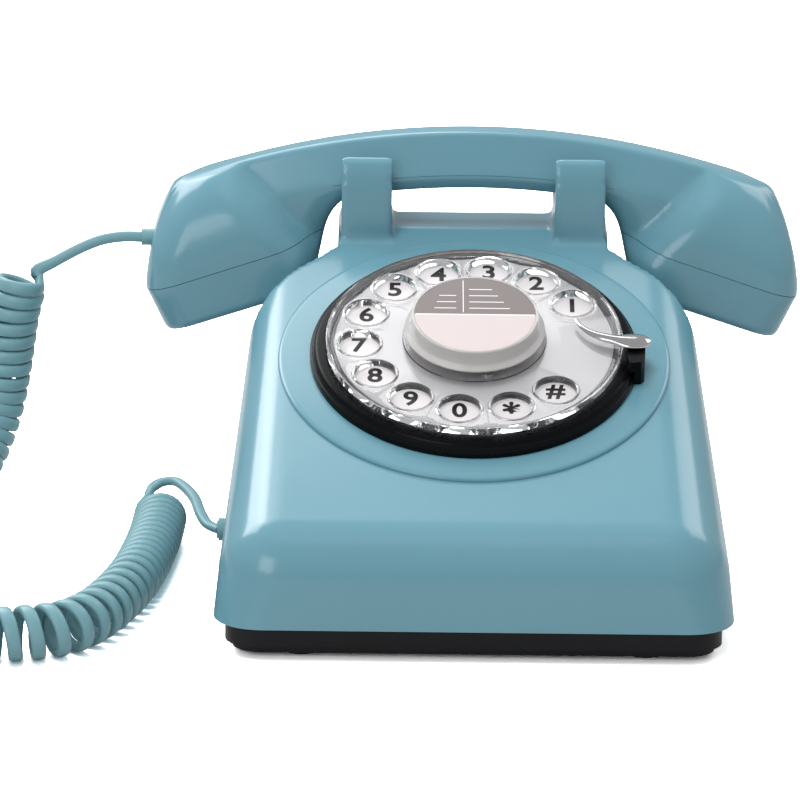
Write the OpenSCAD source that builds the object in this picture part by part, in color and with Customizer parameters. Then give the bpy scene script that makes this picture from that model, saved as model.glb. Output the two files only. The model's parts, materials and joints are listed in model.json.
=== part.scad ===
// Desk telephone with a wedge shaped case, a rotary dial with a clear finger wheel
// and a handset on a curly cord.
// Origin: middle of the footprint, on the table. Front of the case faces -Y.

/* [Case] */
// Width of the case along its lower edge
case_w = 177; // [174:1:180]
// Depth of the case from front to back
case_d = 206; // [204:1:210]
// Height of the deck behind the dial
deck_z = 106; // [105:0.5:107]
// Slope of the dial face in degrees
face_tilt = 21; // [20:0.5:22]
// Radius of the case corners
corner_r = 14; // [12:1:15]
// Wall thickness of the case and the handset
wall = 2.6; // [2.2:0.1:3]
// Width of the neck that stands between the handset ends
neck_w = 100; // [98:1:102]

/* [Dial] */
// Radius of the clear finger wheel
wheel_r = 51.5; // [51:0.25:52]
// Radius of the black bezel at its foot
bezel_r = 57; // [56.5:0.25:58]
// Radius of the finger holes
finger_hole_r = 7; // [6.5:0.25:7.25]
// Radius of the circle that the finger holes lie on
hole_circle_r = 40; // [39.5:0.25:40.25]
// Height of the bezel above the sloping face
bezel_top = 6.6; // [6:0.2:6.8]

/* [Handset] */
// Length of the handset over both ends
handset_l = 234; // [230:1:236]
// Height of the top of the handle when it rests in the cradle
handle_top_z = 140; // [140:0.5:142]
// Thickness of the handle from top to bottom
handle_t = 20; // [19:0.5:21]
// Depth of the handle from front to back
handle_d = 22; // [21:0.5:23]
// Radius of the arc that the handle follows
arc_r = 300; // [290:5:310]

/* [Cord] */
// Outer diameter of the curly part of the cord
coil_d = 19; // [18:0.5:19.5]
// Width of the flat cord itself
lead_d = 5; // [4:0.5:5.5]

/* [Hidden] */

$fn = 64;
shell_fn = 28;

plastic_blue = "#8fbccb";
soft_black = "#1c1c1f";
steel_grey = "#9a9da0";
brass = "#c8a657";
clear_grey = "#d8dcde";

foot_h = 2;
pan_z = 2;
case_z = 12;
pan_inset = 4.8;
screw_x = 73;
screw_y = 62;
side_draft = 0.105;
rear_taper = 0.022;
case_half_w = case_w / 2;
case_half_d = case_d / 2;

dial_y = -4;
slope_end_y = 68.92;
dial_z = deck_z - (slope_end_y - dial_y) * tan(face_tilt);
plateau_r = 68;
plateau_h = 1.6;
dial_opening_r = 50;

neck_half = neck_w / 2;
shoulder_y = 59;
shoulder_angle = 42.5;
shelf_z = 60;

// heights along the dial axis, measured from the sloping face
plate_z = 5.6;
wheel_z = 7.2;
wheel_t = 2.4;
wheel_top = wheel_z + wheel_t;
hub_bore_r = 6.05;
hub_r = 9;
frame_top = -4;
frame_t = 2.5;
gear_z = -10;
gear_t = 2.5;
cam_z = -13;
rear_plate_z = -20;
rear_plate_t = 2.5;
cap_bottom = wheel_top + 3.2;
cap_top = wheel_top + 10;
cap_r = 22;
cap_flange_r = 24.3;
stem_r = 3;

gear_module = 1;
gear_teeth = 60;
pinion_teeth = 12;
gear_r = gear_teeth * gear_module / 2;
pinion_r = pinion_teeth * gear_module / 2;
governor_distance = gear_r + pinion_r;
governor_angle = 200;

hole_step = 360 / 14;
first_hole_angle = 31;
hole_count = 12;

handset_y = 79;
pod_half_d = 23;
prong_x = [29, 47];
saddle_z = 115.6;
plunger_top = 116.6;
plunger_x = 39;
cap_outer = [handset_l / 2, 83];
cap_inner = [57, 103.2];
cap_h = 14.5;
cap_slope = atan2(cap_inner[1] - cap_outer[1], cap_outer[0] - cap_inner[0]);
pod_centre = (cap_outer + cap_inner) / 2;
split_r = arc_r - handle_t + 5.5;
screw_seat_z = 120;

grommet_base = [-85.2, 0, 14];
grommet_handset = [-handset_l / 2, handset_y, 98.5];

// curly part of the cord, hand laid: from the handset end down to the table,
// round in front of the case and back to its left side
coil_route = [
    [-162, 79, 82], [-165, 79, 70], [-168, 79, 50], [-171.5, 77, 33], [-177, 69, 19], [-184, 55, 11.5],
    [-192, 36, 10], [-199, 10, 10], [-203, -18, 10], [-204, -44, 10], [-201, -68, 10],
    [-194, -88, 10], [-182, -100, 10], [-168, -104, 10], [-152, -102, 10], [-138, -96, 10],
    [-128, -82, 10], [-121, -62, 10], [-116, -40, 10], [-113, -18, 10], [-111, 4, 10], [-110, 28, 10],
];
handset_lead_route = [
    [-119.3, 79, 98.5], [-126, 79, 98.5], [-134, 79, 97], [-142, 79, 93.5], [-150, 79, 89], [-157, 79, 85],
    [-161, 79, 82.6],
];
base_lead_route = [
    [-114, 28.6, 15], [-114, 34, 17], [-111, 40, 18], [-106, 41, 18.5], [-102, 36, 18], [-98, 26, 17],
    [-95.5, 14, 15.5], [-92.7, 5, 14.3], [-89.5, 0.6, 14],
];

function face_z(y) = dial_z + (y - dial_y) * tan(face_tilt);
function arc_z(r, x) = handle_top_z - arc_r + sqrt(r * r - x * x);
function polar(r, a) = [r * cos(a), r * sin(a)];

// ---------- placing helpers ----------

module on_face() {
    translate([0, dial_y, dial_z])
        rotate([face_tilt, 0, 0])
            children();
}

module along_x(x0, x1) {
    translate([x0, 0, 0])
        rotate([90, 0, 90])
            linear_extrude(height = x1 - x0)
                children();
}

module along_y(y0, y1) {
    translate([0, y1, 0])
        rotate([90, 0, 0])
            linear_extrude(height = y1 - y0)
                children();
}

module both_sides() {
    children();
    mirror([1, 0, 0]) children();
}

module ring(z0, z1, r_out, r_in) {
    translate([0, 0, z0])
        difference() {
            cylinder(h = z1 - z0, r = r_out);
            translate([0, 0, -1])
                cylinder(h = z1 - z0 + 2, r = r_in);
        }
}

module disc(z0, z1, r) {
    translate([0, 0, z0])
        cylinder(h = z1 - z0, r = r);
}

module rounded_rect(w, d, r) {
    square([w - 2 * r, d], center = true);
    square([w, d - 2 * r], center = true);
    for (sx = [-1, 1], sy = [-1, 1])
        translate([sx * (w / 2 - r), sy * (d / 2 - r)])
            circle(r);
}

module at_corners(x, y) {
    for (sx = [-1, 1], sy = [-1, 1])
        translate([sx * x, sy * y, 0])
            children();
}

// ---------- case ----------

// the wedge is a hull of equal balls, so a smaller ball gives an even wall
module wedge(inset) {
    r = corner_r - inset;
    drop = corner_r / cos(face_tilt);
    front_y = -case_half_d + corner_r;
    crease_y = dial_y + (deck_z - corner_r + drop - dial_z) / tan(face_tilt);
    hull()
        for (sx = [-1, 1]) {
            ball(sx, front_y, case_z, r);
            ball(sx, case_half_d - corner_r, case_z, r);
            ball(sx, front_y + 2, face_z(front_y + 2) - drop, r);
            ball(sx, crease_y, deck_z - corner_r, r);
            ball(sx, case_half_d - corner_r, deck_z - corner_r, r);
        }
}

// outside of the side wall, which leans in upwards and towards the back
function side_x(y, z) = case_half_w - side_draft * (z - case_z) - rear_taper * (y + case_half_d);

module ball(side, y, z, r) {
    translate([side * (side_x(y, z) - corner_r), y, z])
        sphere(r, $fn = shell_fn);
}

// the room at both sides of the neck where the handset ends hang
module shoulder_room(grow) {
    far = 140;
    both_sides()
        translate([0, 0, shelf_z - grow])
            linear_extrude(height = 100)
                offset(delta = grow)
                    polygon([
                        [neck_half, shoulder_y], [neck_half, far], [far, far],
                        [far, shoulder_y - (far - neck_half) * tan(shoulder_angle)],
                    ]);
}

// front and rear horns with the saddle between them, seen from the side
module cradle_profile() {
    handle_half = handle_d / 2 + 0.6;
    front_in = handset_y - handle_half;
    rear_in = handset_y + handle_half;
    horn_top = 133;
    rear_top = 125;
    polygon([
        [60.4, deck_z - 5], [60.4, 112], [60.7, 122], [61.6, 127.5],
        [63, 131], [64.6, horn_top - 0.4], [66, horn_top - 0.2], [front_in, horn_top - 1.6],
        [front_in, saddle_z + 1], [front_in + 1, saddle_z],
        [rear_in - 1, saddle_z], [rear_in, saddle_z + 1],
        [rear_in, rear_top - 2], [rear_in + 1.5, rear_top], [rear_in + 3.5, rear_top - 1],
        [rear_in + 5.5, 114], [rear_in + 6, deck_z - 2], [70, deck_z - 2],
    ]);
}

// web between a screw boss and the side wall
module boss_rib(sx, sy) {
    rib_h = 18;
    reach = side_x(sy * screw_y, case_z + rib_h) - 1 - screw_x;
    translate([sx * (screw_x + reach / 2), sy * screw_y, case_z + rib_h / 2])
        cube([reach, 2, rib_h], center = true);
}

module case_shell() {
    color(plastic_blue)
        difference() {
            union() {
                difference() {
                    wedge(0);
                    shoulder_room(0);
                    difference() {
                        wedge(wall);
                        shoulder_room(wall);
                        translate([0, 0, case_z + 2 - 50])
                            cube([300, 300, 100], center = true);
                    }
                }
                on_face()
                    disc(-wall, plateau_h, plateau_r);
                both_sides()
                    along_x(prong_x[0], prong_x[1])
                        cradle_profile();
                at_corners(screw_x, screw_y)
                    disc(case_z, 30, 4.5);
                for (sx = [-1, 1], sy = [-1, 1])
                    boss_rib(sx, sy);
            }
            translate([0, 0, case_z - 50])
                cube([300, 300, 100], center = true);
            translate([0, 0, case_z - 1])
                linear_extrude(height = 3.5)
                    difference() {
                        rounded_rect(case_w - 18, case_d - 18, 8);
                        for (sx = [-1, 1], sy = [-1, 1])
                            translate([sx * screw_x, sy * screw_y])
                                circle(4.5);
                    }
            on_face()
                disc(-20, 10, dial_opening_r);
            at_corners(screw_x, screw_y)
                disc(case_z - 1, 24, 1.5);
            for (sx = [-1, 1])
                translate([sx * plunger_x, handset_y, 90])
                    cylinder(h = 30, r = 2.6);
            translate([32.9, 86, 12.9])
                cube([16.2, 22, 13.2]);
            translate(grommet_base)
                rotate([0, 90, 0])
                    disc(-5, 7, 3.2);
        }
}

module base_pan() {
    w = case_w - 2 * pan_inset;
    d = case_d - 2 * pan_inset;
    color(soft_black)
        difference() {
            union() {
                difference() {
                    union() {
                        translate([0, 0, pan_z + 2.5])
                            linear_extrude(height = case_z - pan_z - 2.5)
                                rounded_rect(w, d, 11);
                        translate([0, 0, pan_z])
                            linear_extrude(height = 2.5)
                                rounded_rect(w - 5, d - 5, 9);
                    }
                    translate([0, 0, pan_z + 2.6])
                        linear_extrude(height = 10)
                            rounded_rect(w - 12, d - 12, 7);
                }
                for (x = [-56, 56], y = [-80, -22])
                    translate([x, y, 0])
                        disc(pan_z + 2, 12, 3.5);
                at_corners(screw_x, screw_y)
                    disc(pan_z + 2, case_z, 5.5);
                translate([34, 86, pan_z + 2])
                    cube([14, 7.6, 9]);
            }
            translate(grommet_base)
                rotate([0, 90, 0])
                    disc(-4, 10, 4.3);
            at_corners(screw_x, screw_y)
                disc(pan_z - 1, case_z + 1, 1.6);
            at_corners(screw_x, screw_y)
                disc(pan_z - 1, pan_z + 2.4, 3.2);
            at_corners(58, 84)
                disc(pan_z - 1, pan_z + 4, 4);
            for (x = [25, 45, 65], y = [12, 28, 44])
                translate([x - 5, y, 0])
                    disc(pan_z - 1, pan_z + 4, 2.2);
        }
}

module rubber_feet() {
    color("#2b2b2d")
        at_corners(58, 84) {
            disc(0, foot_h, 7.5);
            disc(foot_h, foot_h + 2.6, 4);
        }
}

module screw(z0, z1, head_r, head_t, shank_r) {
    difference() {
        disc(z0, z0 + head_t, head_r);
        translate([0, 0, z0])
            cube([head_r * 1.3, 0.6, 1.2], center = true);
        translate([0, 0, z0])
            cube([0.6, head_r * 1.3, 1.2], center = true);
    }
    disc(z0 + head_t, z1, shank_r);
}

module case_screws() {
    color(steel_grey)
        at_corners(screw_x, screw_y)
            screw(pan_z, 22, 3, 2.4, 1.5);
}

module ballast_plate() {
    color(steel_grey)
        translate([-34, 52, pan_z + 2.6])
            linear_extrude(height = 5)
                rounded_rect(64, 60, 4);
}

// ---------- dial, fixed pieces ----------

module dial_bezel() {
    color(soft_black)
        on_face()
            difference() {
                union() {
                    rotate_extrude()
                        polygon([
                            [46.5, -4], [49.6, -4], [49.6, plateau_h], [bezel_r, plateau_h],
                            [bezel_r, 4], [bezel_r - 0.8, 4.6], [bezel_r - 1.2, 4.8],
                            [bezel_r - 1.6, 6], [bezel_r - 2.6, bezel_top], [49.2, bezel_top],
                            [49, plate_z], [46.5, plate_z],
                        ]);
                    for (a = [90, 210, 330])
                        rotate(a)
                            translate([44, 0, 0])
                                disc(frame_top, plate_z - 0.6, 4);
                }
                for (a = [90, 210, 330])
                    rotate(a)
                        translate([44, 0, 0])
                            disc(-5, 1.5, 1.25);
            }
}

module number_plate() {
    color("#e4e0dc")
        on_face()
            ring(plate_z, plate_z + 1.2, 48.6, 12);
}

module dial_frame() {
    color(steel_grey)
        on_face()
            difference() {
                disc(frame_top - frame_t, frame_top, 48.5);
                disc(-10, 0, 12.5);
                for (a = [90, 210, 330])
                    rotate(a)
                        translate([44, 0, 0])
                            disc(-8, 0, 1.6);
                translate(polar(governor_distance, governor_angle))
                    disc(-8, -5.2, 1.55);
            }
}

module dial_frame_screws() {
    color(steel_grey)
        on_face()
            for (a = [90, 210, 330])
                rotate(a)
                    translate([44, 0, 0])
                        screw(frame_top - frame_t - 1.6, 1, 2.4, 1.6, 1.25);
}

module dial_rear_plate() {
    color(steel_grey)
        on_face()
            difference() {
                union() {
                    disc(rear_plate_z, rear_plate_z + rear_plate_t, 46);
                    for (a = [30, 150, 270])
                        rotate(a)
                            translate([41, 0, 0])
                                disc(rear_plate_z + 1, frame_top - frame_t, 3.5);
                }
                disc(-30, 0, 6);
                translate(polar(governor_distance, governor_angle))
                    disc(-30, -10, 1.55);
            }
}

module dial_bearing_bush() {
    color(brass)
        on_face() {
            ring(frame_top - frame_t, 1.5, 12.5, hub_r + 0.04);
            ring(1.5, 2.5, 14, hub_r + 0.04);
        }
}

module dial_return_spring() {
    turns = 3;
    steps = 22;
    inner = 10;
    pitch = 2.6;
    band = 0.6;
    total = turns * steps;
    spiral_in = [for (i = [0:total]) polar(inner + pitch * i / steps, 360 * i / steps)];
    spiral_out = [for (i = [total:-1:0]) polar(inner + band + pitch * i / steps, 360 * i / steps)];
    color("#6f7478")
        on_face()
            translate([0, 0, rear_plate_z + rear_plate_t])
                linear_extrude(height = 3)
                    polygon(concat(spiral_in, spiral_out));
}

module button_guide_post() {
    color(steel_grey)
        on_face() {
            ring(rear_plate_z, 15.4, 6, stem_r + 0.05);
            ring(rear_plate_z - 1.5, rear_plate_z, 9, stem_r + 0.05);
        }
}

module button_switch() {
    color("#2f6b46")
        on_face() {
            difference() {
                translate([-16, -10, rear_plate_z - 8.5])
                    cube([32, 20, 1.5]);
                for (x = [-12, 12])
                    translate([x, 0, 0])
                        disc(-40, 0, 1.2);
            }
            translate([-4, -4, rear_plate_z - 7])
                cube([8, 8, 4]);
            disc(rear_plate_z - 3, rear_plate_z - 2.4, 1.8);
            for (x = [-12, 12])
                translate([x, 0, 0])
                    ring(rear_plate_z - 7, rear_plate_z, 2.4, 1.2);
        }
}

module governor_housing() {
    color(steel_grey)
        on_face()
            translate(polar(governor_distance, governor_angle)) {
                ring(-33, rear_plate_z, 12.5, 11);
                ring(-33, -31.6, 11.5, 1.55);
            }
}

module dial_contact_springs() {
    color(brass)
        on_face()
            translate([0, -30, 0])
                for (i = [0:2])
                    translate([-16, -3.2 * i - 1, rear_plate_z + rear_plate_t])
                        cube([26, 0.8, 6]);
}

// chrome hook that reaches over the wheel, pinned into the post
module finger_stop() {
    h0 = 11.2;
    color("#d9dcde")
        on_face() {
            translate([0, 0, h0])
                linear_extrude(height = 2.6)
                    polygon([
                        [35.4, 8.8], [34.6, 8.2], [36.0, 4.6], [38.4, 0.8], [42.0, -2.4],
                        [46.6, -5.0], [50.6, -7.4], [54.6, -8.8], [58.6, -7.6], [60.6, -4.6],
                        [60.2, -1.2], [57.2, 0.8], [53.0, 0], [48.6, -1.6], [44.0, -1.0],
                        [40.2, 2.4], [37.2, 6.4],
                    ]);
            translate([56, -4, h0 - 3])
                cylinder(h = 3, r = 1.5);
        }
}

module finger_stop_post() {
    color(soft_black)
        on_face()
            difference() {
                translate([52.8, -15, plateau_h])
                    linear_extrude(height = 9.6)
                        polygon([
                            [0.6, 0], [4.6, 0.4], [5.8, 2], [6.4, 14], [5.4, 16.2], [0.8, 16], [0, 14], [0, 2],
                        ]);
                disc(0, bezel_top + 0.3, bezel_r);
                translate([56, -4, 7])
                    cylinder(h = 6, r = 1.5);
            }
}

// ---------- dial, turning pieces ----------

module finger_wheel() {
    color(clear_grey)
        on_face()
            difference() {
                union() {
                    disc(wheel_z, wheel_top, wheel_r);
                    ring(wheel_top, wheel_top + 0.8, wheel_r, wheel_r - 1.8);
                    ring(wheel_top, wheel_top + 0.6, 24.6, 23.4);
                    for (i = [0:hole_count - 1])
                        translate(polar(hole_circle_r, first_hole_angle + i * hole_step))
                            disc(wheel_top, wheel_top + 0.5, finger_hole_r + 1);
                }
                disc(0, 20, hub_r);
                for (i = [0:hole_count - 1])
                    translate(polar(hole_circle_r, first_hole_angle + i * hole_step))
                        disc(0, 20, finger_hole_r);
                translate([4.6, -19.3, 0])
                    disc(0, 20, 1.5);
            }
}

module wheel_hub() {
    color(steel_grey)
        on_face() {
            ring(-15, wheel_top, hub_r, hub_bore_r);
            ring(wheel_z - 2, wheel_z, 11.5, hub_r);
        }
}

module wheel_clamp_screw() {
    color("#cfd2d4")
        on_face()
            translate([4.6, -19.3, 0]) {
                disc(plate_z + 1.6, wheel_top, 1.5);
                difference() {
                    disc(wheel_top, wheel_top + 1, 2.8);
                    translate([0, 0, wheel_top + 1])
                        cube([4.4, 0.7, 0.8], center = true);
                }
            }
}

function tooth(pitch_r, n, i) = [
    polar(pitch_r - 1.15, (i - 0.30) * 360 / n),
    polar(pitch_r - 0.1, (i - 0.19) * 360 / n),
    polar(pitch_r + 0.75, (i - 0.10) * 360 / n),
    polar(pitch_r + 0.75, (i + 0.10) * 360 / n),
    polar(pitch_r - 0.1, (i + 0.19) * 360 / n),
    polar(pitch_r - 1.15, (i + 0.30) * 360 / n),
];

module toothed(pitch_r, n) {
    polygon([for (i = [0:n - 1]) for (p = tooth(pitch_r, n, i)) p]);
}

module main_gear() {
    color(brass)
        on_face()
            translate([0, 0, gear_z])
                difference() {
                    rotate(governor_angle)
                        linear_extrude(height = gear_t)
                            toothed(gear_r, gear_teeth);
                    disc(-1, 10, hub_r);
                    for (a = [0:60:300])
                        rotate(a)
                            translate([19, 0, 0])
                                disc(-1, 10, 5);
                }
}

module pulse_cam() {
    lobes = 12;
    color("#e9e4d2")
        on_face()
            translate([0, 0, cam_z])
                difference() {
                    linear_extrude(height = 2)
                        polygon([for (i = [0:lobes - 1])
                            for (k = [0:1]) for (e = [0:1])
                                polar(k == 0 ? 17 : 14.5, (i + (k + 0.7 * e) / 2) * 360 / lobes)]);
                    disc(-1, 10, hub_r);
                }
}

module governor_pinion() {
    color(brass)
        on_face()
            translate(polar(governor_distance, governor_angle))
                translate([0, 0, gear_z])
                    difference() {
                        rotate(governor_angle + 180 + 180 / pinion_teeth)
                            linear_extrude(height = gear_t)
                                toothed(pinion_r, pinion_teeth);
                        disc(-1, 10, 1.5);
                    }
}

module governor_shaft() {
    color(steel_grey)
        on_face()
            translate(polar(governor_distance, governor_angle))
                disc(-32.5, -5.6, 1.5);
}

module governor_weights() {
    color(brass)
        on_face()
            translate(polar(governor_distance, governor_angle))
                difference() {
                    union() {
                        disc(-28, -26, 4);
                        translate([-9, -2, -28])
                            cube([18, 4, 2]);
                        for (s = [-1, 1])
                            translate([s * 7.5, 0, 0])
                                disc(-30, -24, 2.4);
                    }
                    disc(-40, 0, 1.5);
                }
}

// ---------- hands-free button in the middle of the dial ----------

module button_cap() {
    color(clear_grey)
        on_face()
            difference() {
                rotate_extrude()
                    polygon([
                        [0, cap_bottom], [cap_flange_r, cap_bottom], [cap_flange_r, cap_bottom + 1.6],
                        [cap_r + 0.6, cap_bottom + 2.6], [cap_r, cap_top + 0.2], [cap_r - 0.4, cap_top + 0.5],
                        [0, cap_top + 0.5],
                    ]);
                disc(cap_bottom - 1, cap_top - 2.2, cap_r - 1.6);
                disc(cap_top, cap_top + 1, cap_r - 1);
            }
}

module label_card() {
    color("#e9dcdb")
        on_face()
            disc(cap_top, cap_top + 0.3, cap_r - 1.1);
}

module button_stem() {
    color("#c9c9c9")
        on_face()
            disc(rear_plate_z - 0.6, cap_top - 2.2, stem_r);
}

// ---------- inside the case ----------

module main_circuit_board() {
    color("#2f6b46")
        difference() {
            translate([-62, -88, 12])
                cube([124, 74, 1.6]);
            for (x = [-56, 56], y = [-80, -22])
                translate([x, y, 0])
                    disc(0, 30, 1.6);
        }
}

module circuit_components() {
    top = 13.6;
    color("#3a3a3c") {
        translate([-44, -74, top])
            cube([22, 12, 4]);
        translate([-8, -70, top])
            cube([16, 16, 3]);
        translate([20, -76, top])
            cube([26, 18, 12]);
        for (i = [0:4])
            translate([-46 + 14 * i, -44, 0])
                disc(top, top + 9, 3.2);
        for (i = [0:3])
            translate([-40 + 22 * i, -30, top])
                cube([10, 5, 3]);
        translate([36, -42, top])
            cube([16, 20, 8]);
    }
}

module ringer_speaker() {
    color("#3b3b3e")
        translate([40, 28, 0]) {
            disc(pan_z + 2.6, pan_z + 6, 26);
            disc(pan_z + 6, pan_z + 14, 22);
            disc(pan_z + 14, pan_z + 22, 12);
        }
}

module line_jack() {
    color("#26262a")
        difference() {
            translate([33, 88, 13])
                cube([16, 15, 13]);
            translate([35.05, 91, 16])
                cube([11.9, 13, 7]);
        }
    color(brass)
        for (i = [0:3])
            translate([38 + 2 * i, 90.9, 17.4])
                cube([0.6, 9, 0.6]);
}

// ---------- hook switch ----------

module hook_switch_bracket() {
    color(steel_grey) {
        difference() {
            translate([-47, 68, 72])
                cube([94, 22, 2]);
            translate([0, handset_y, 60])
                cylinder(h = 30, r = 2);
        }
        both_sides()
            translate([45, 74, 74])
                cube([2, 16, deck_z - wall - 74]);
    }
    color(steel_grey)
        translate([0, handset_y, 0])
            disc(72, 98.4, 2);
}

module hook_return_spring() {
    color("#8b8f92")
        translate([0, handset_y, 0])
            for (i = [0:6])
                translate([0, 0, 74.5 + i * 2.4])
                    rotate_extrude()
                        translate([4, 0])
                            circle(0.5);
}

module hook_contact_springs() {
    color(brass)
        for (i = [0:2])
            translate([14 + 3.2 * i, 70, 74])
                cube([0.8, 14, 11 - i]);
}

module hook_bar() {
    color("#2c2c2f")
        difference() {
            translate([-42, handset_y - 4, 89.6])
                cube([84, 8, 3.4]);
            translate([0, handset_y, 0])
                disc(80, 100, 2.4);
        }
}

module hook_plungers() {
    color("#2c2c2f")
        for (sx = [-1, 1])
            translate([sx * plunger_x, handset_y, 0])
                disc(93, plunger_top, 2.5);
}

// ---------- cord ----------

module cord_grommet_base() {
    color("#6f9aa8")
        translate(grommet_base)
            rotate([0, 90, 0])
                difference() {
                    union() {
                        disc(-4, 5, 3.2);
                        disc(-3.4, -1.2, 4);
                    }
                    disc(-7, 6, 1.2);
                }
}

module cord_grommet_handset() {
    color("#6f9aa8")
        translate(grommet_handset)
            rotate([0, 90, 0])
                disc(-2, 8, 3);
}

// a direction that no stretch of the cord runs along
sweep_reference = [1, 1, -1];

// a plain tube swept through a list of points
module swept_tube(route, r, sides) {
    n = len(route);
    ring_points = [for (i = [0:n - 1])
        let (ahead = route[min(i + 1, n - 1)] - route[max(i - 1, 0)])
        let (t = ahead / norm(ahead))
        let (side = cross(t, sweep_reference))
        let (u = side / norm(side))
        let (v = cross(u, t))
        for (k = [0:sides - 1])
            route[i] + r * (cos(360 * k / sides) * u + sin(360 * k / sides) * v)];
    walls = [for (i = [0:n - 2]) for (k = [0:sides - 1])
        [i * sides + k, i * sides + (k + 1) % sides, (i + 1) * sides + (k + 1) % sides, (i + 1) * sides + k]];
    start_face = [[for (k = [sides - 1:-1:0]) k]];
    end_face = [[for (k = [0:sides - 1]) (n - 1) * sides + k]];
    polyhedron(points = ring_points, faces = concat(walls, start_face, end_face));
}

module cord_lead_base() {
    color(plastic_blue)
        swept_tube(base_lead_route, lead_d / 2 - 0.5, 8);
}

module cord_coil() {
    color(plastic_blue)
        swept_tube(coil_route, coil_d / 2, 12);
}

module cord_lead_handset() {
    color(plastic_blue)
        swept_tube(handset_lead_route, lead_d / 2 - 0.5, 8);
}

// ---------- handset ----------

// right half of the outline seen from the front, closed along the middle
function handset_half() = concat(
    [for (x = [0:10:100]) [x, arc_z(arc_r, x)]],
    [[104, arc_z(arc_r, 104) - 0.3], [106.4, arc_z(arc_r, 106) - 2.4], [108, arc_z(arc_r, 106) - 7]],
    [[cap_outer[0] - 1.6, cap_outer[1] + 8], cap_outer],
    [[cap_outer[0] - 7, cap_outer[1] - cap_h - 1]],
    [[cap_inner[0] + 5, cap_inner[1] - cap_h - 1.5], cap_inner],
    [for (k = [0.2:0.2:0.8]) inner_bend(k)],
    [for (x = [46:-7.65:0.1]) [x, arc_z(arc_r - handle_t, x)]],
    [[0, arc_z(arc_r - handle_t, 0)]]
);

// smooth run from the inside of the ear piece up to the underside of the handle
function inner_bend(k) =
    let (a = cap_inner, b = [cap_inner[0] - 2.5, cap_inner[1] + 11])
    let (c = [46, arc_z(arc_r - handle_t, 46)])
    (1 - k) * (1 - k) * a + 2 * k * (1 - k) * b + k * k * c;

// the right half followed by its mirror image, as one closed outline
function mirrored(half) = concat(half, [for (i = [len(half) - 1:-1:0]) if (half[i][0] > 0) [-half[i][0], half[i][1]]]);

module handset_outline() {
    polygon(mirrored(handset_half()));
}

// narrow handle, wide ends with rounded corners, seen from above
module handset_plan() {
    half_handle = handle_d / 2;
    corner = 12;
    corner_x = handset_l / 2 - corner;
    half = concat(
        [[0, half_handle], [52, half_handle], [70, pod_half_d]],
        [for (a = [90:-15:0]) [corner_x, pod_half_d - corner] + polar(corner, a)],
        [for (a = [0:-15:-90]) [corner_x, corner - pod_half_d] + polar(corner, a)],
        [[70, -pod_half_d], [52, -half_handle], [0, -half_handle]]
    );
    translate([0, handset_y])
        polygon(mirrored(half));
}

module handset_blank() {
    intersection() {
        along_y(handset_y - 30, handset_y + 30)
            handset_outline();
        linear_extrude(height = 200)
            handset_plan();
    }
}

module cap_side(side) {
    mirror([side < 0 ? 1 : 0, 0, 0])
        along_y(handset_y - 40, handset_y + 40)
            polygon([
                cap_inner - 14 * [cos(cap_slope), -sin(cap_slope)],
                cap_outer + 14 * [cos(cap_slope), -sin(cap_slope)],
                [140, 40], [50, 40],
            ]);
}

// local frame of an ear piece: origin in the middle of its cap line, +Z into the handset
module pod_frame(side) {
    mirror([side < 0 ? 1 : 0, 0, 0])
        translate([pod_centre[0], handset_y, pod_centre[1]])
            rotate([0, cap_slope, 0])
                children();
}

module channel(r_out, r_in, x_max, depth) {
    along_y(handset_y - depth / 2, handset_y + depth / 2)
        polygon(concat(
            [for (x = [-x_max:x_max / 8:x_max]) [x, arc_z(r_out, x)]],
            [for (x = [x_max:-x_max / 8:-x_max]) [x, arc_z(r_in, x)]]
        ));
}

module front_cover_room() {
    along_y(handset_y - 30, handset_y + 30)
        polygon(concat(
            [for (x = [-50:12.5:50]) [x, arc_z(split_r, x)]],
            [[50, 90], [-50, 90]]
        ));
}

module handset_back() {
    color(plastic_blue)
        difference() {
            handset_blank();
            cap_side(1);
            cap_side(-1);
            front_cover_room();
            difference() {
                channel(arc_r - 3.5, split_r - 1, 80, 15);
                for (sx = [-1, 1])
                    translate([sx * 42, handset_y, 100])
                        cylinder(h = 50, r = 4);
            }
            for (side = [-1, 1])
                pod_frame(side) {
                    disc(-1, 13, 18);
                    disc(12, 22, 11);
                }
            for (sx = [-1, 1])
                translate([sx * 42, handset_y, 100])
                    cylinder(h = 31, r = 1.25);
            translate([grommet_handset[0] - 4, handset_y, grommet_handset[2]])
                rotate([0, 90, 0])
                    cylinder(h = 14, r = 3);
        }
}

module handset_front() {
    color(plastic_blue)
        difference() {
            intersection() {
                handset_blank();
                front_cover_room();
            }
            channel(split_r + 1, arc_r - handle_t + 2.4, 34, 15);
            for (sx = [-1, 1])
                translate([sx * 42, handset_y, 100])
                    cylinder(h = 50, r = 1.4);
            for (sx = [-1, 1])
                translate([sx * 42, handset_y, 100])
                    cylinder(h = screw_seat_z - 100, r = 2.6);
        }
}

module end_cap(side) {
    color(plastic_blue)
        difference() {
            intersection() {
                handset_blank();
                cap_side(side);
            }
            pod_frame(side)
                disc(-cap_h + 2.6, 1, 19.5);
            pod_frame(side) {
                disc(-30, 0, 1.4);
                for (a = [0:60:300])
                    rotate(a)
                        translate([8, 0, 0])
                            disc(-30, 0, 1.4);
            }
        }
}

module ear_cap() {
    end_cap(1);
}

module mouth_cap() {
    end_cap(-1);
}

module receiver_capsule() {
    color("#4a4a4d")
        pod_frame(1) {
            disc(-cap_h + 4, -3, 17.5);
            disc(-3, 6, 13);
        }
}

module microphone_capsule() {
    color("#4a4a4d")
        pod_frame(-1) {
            disc(-cap_h + 4, -4, 15);
            disc(-4, 3, 9);
        }
}

module handset_ballast() {
    color(steel_grey)
        channel(arc_r - 4.5, arc_r - 12.5, 32, 12);
}

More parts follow.
